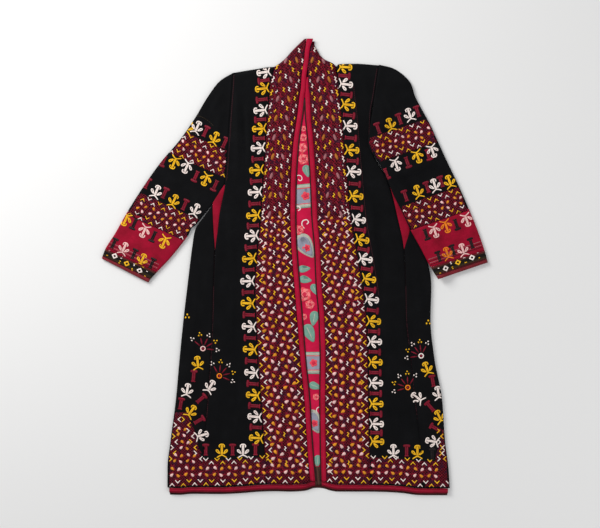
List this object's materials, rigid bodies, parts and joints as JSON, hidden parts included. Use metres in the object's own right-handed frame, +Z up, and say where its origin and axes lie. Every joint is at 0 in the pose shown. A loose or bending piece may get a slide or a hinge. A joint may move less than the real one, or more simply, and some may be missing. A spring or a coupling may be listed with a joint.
{
  "type": "long gown",
  "caption": "Long open-fronted embroidered gown with wide sleeves, standing neckband, red underarm gussets and printed lining, laid flat on its back.",
  "frame": {"origin": "under the middle of the garment's outline, on the surface it lies on", "axes": "+Y from the hem to the neck, +X across to the sleeve at the right as seen from above, +Z up from the surface"},
  "size_m": [0.964, 1.14, 0.0163],
  "materials": {
    "black_cloth": "matt",
    "red_cloth": "satin",
    "worked_cloth": "matt",
    "printed_lining": "matt",
    "striped_cloth": "matt",
    "braid": "matt"
  },
  "bodies": {
    "root": {"front_panel_left": "black_cloth", "front_panel_right": "black_cloth", "side_gore_left": "black_cloth", "side_gore_right": "black_cloth", "back_panel": "black_cloth", "sleeve_upper_left": "black_cloth", "sleeve_upper_right": "black_cloth", "gusset_left": "red_cloth", "gusset_right": "red_cloth", "sleeve_lower_left": "red_cloth", "sleeve_lower_right": "red_cloth", "front_strip_left": "worked_cloth", "front_strip_right": "worked_cloth", "neckband_left": "worked_cloth", "neckband_right": "worked_cloth", "back_neckband": "worked_cloth", "back_lining": "printed_lining", "back_hem_facing": "striped_cloth", "cuff_band_left": "striped_cloth", "cuff_band_right": "striped_cloth", "front_edging_left": "braid", "front_edging_right": "braid", "hem_edging_left": "braid", "hem_edging_right": "braid", "hem_edging_back": "braid", "cuff_piping_left": "braid", "cuff_piping_right": "braid"}
  },
  "joints": []
}
